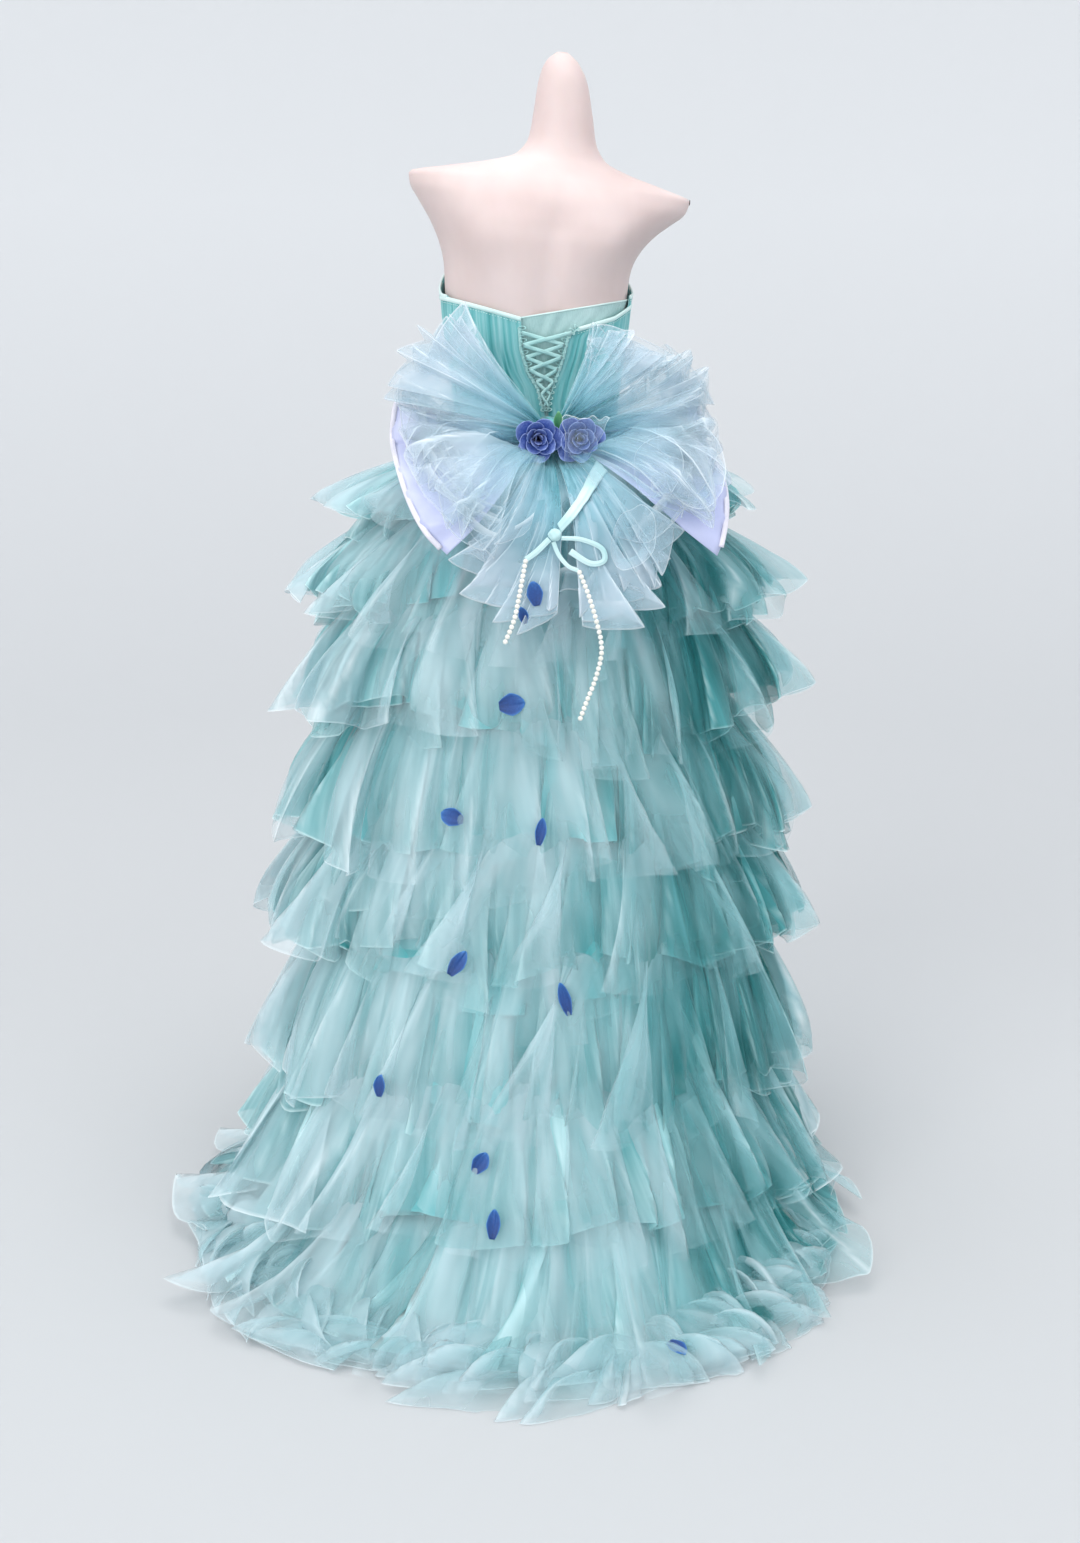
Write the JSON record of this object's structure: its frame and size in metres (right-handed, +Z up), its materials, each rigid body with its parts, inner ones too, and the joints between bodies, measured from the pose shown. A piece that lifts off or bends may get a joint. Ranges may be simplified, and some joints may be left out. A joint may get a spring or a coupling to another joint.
{
  "type": "homecoming dress on a dress form",
  "caption": "Strapless floor-length aqua net gown with gathered tiers, a laced back, a stiff bow with blue roses and a short train, worn by a limbless dress form on a stand.",
  "frame": {"origin": "centre of the stand base's underside, on the floor", "axes": "+Z up along the stand's pole, -Y towards the front of the gown, +X towards the wearer's left side"},
  "size_m": [0.9712, 1.1465, 1.5978],
  "materials": {
    "form_shell": "pale pinkish white moulded shell",
    "stand_metal": "satin steel base and pole",
    "aqua_satin": "finely pleated aqua net over satin",
    "mint_satin": "smooth pale mint satin",
    "pale_binding": "pale satin edge binding",
    "teal_satin": "deep teal satin",
    "aqua_tulle": "layered gathered aqua net",
    "bow_tulle": "stiff pale blue-white net",
    "lilac_satin": "lilac satin",
    "pearl": "cream pearl lacquer",
    "blue_cloth": "royal blue satin petals",
    "leaf_green": "green satin leaf"
  },
  "bodies": {
    "root": {"form_torso": "form_shell", "stand_base": "stand_metal", "stand_pole": "stand_metal", "bodice_front": "aqua_satin", "bodice_back_left": "aqua_satin", "bodice_back_right": "aqua_satin", "lacing_panel": "mint_satin", "binding_front": "pale_binding", "binding_left": "pale_binding", "binding_right": "pale_binding", "loop_tape_left": "mint_satin", "loop_tape_right": "mint_satin", "lace_under": "mint_satin", "lace_over": "mint_satin", "underskirt": "teal_satin", "tier_1": "aqua_tulle", "tier_2": "aqua_tulle", "tier_3": "aqua_tulle", "tier_4": "aqua_tulle", "tier_5": "aqua_tulle", "tier_6": "aqua_tulle", "tier_7": "aqua_tulle", "tier_8": "aqua_tulle", "bow_centre": "bow_tulle", "satin_left": "lilac_satin", "satin_right": "lilac_satin", "fan_upper_left": "bow_tulle", "fan_over_left": "bow_tulle", "fan_upper_right": "bow_tulle", "fan_outer_right": "bow_tulle", "fan_over_right": "bow_tulle", "tail_left": "aqua_tulle", "tail_right": "aqua_tulle", "ribbon_band": "bow_tulle", "ribbon_knot": "bow_tulle", "ribbon_loop": "bow_tulle", "ribbon_end_left": "bow_tulle", "ribbon_end_right": "bow_tulle", "pearls_left": "pearl", "pearls_right": "pearl", "rose_left": "blue_cloth", "rose_right": "blue_cloth", "leaf": "leaf_green", "petal_01": "blue_cloth", "petal_02": "blue_cloth", "petal_03": "blue_cloth", "petal_04": "blue_cloth", "petal_05": "blue_cloth", "petal_06": "blue_cloth", "petal_07": "blue_cloth", "petal_08": "blue_cloth", "petal_09": "blue_cloth", "petal_10": "blue_cloth", "petal_11": "blue_cloth"}
  },
  "joints": []
}
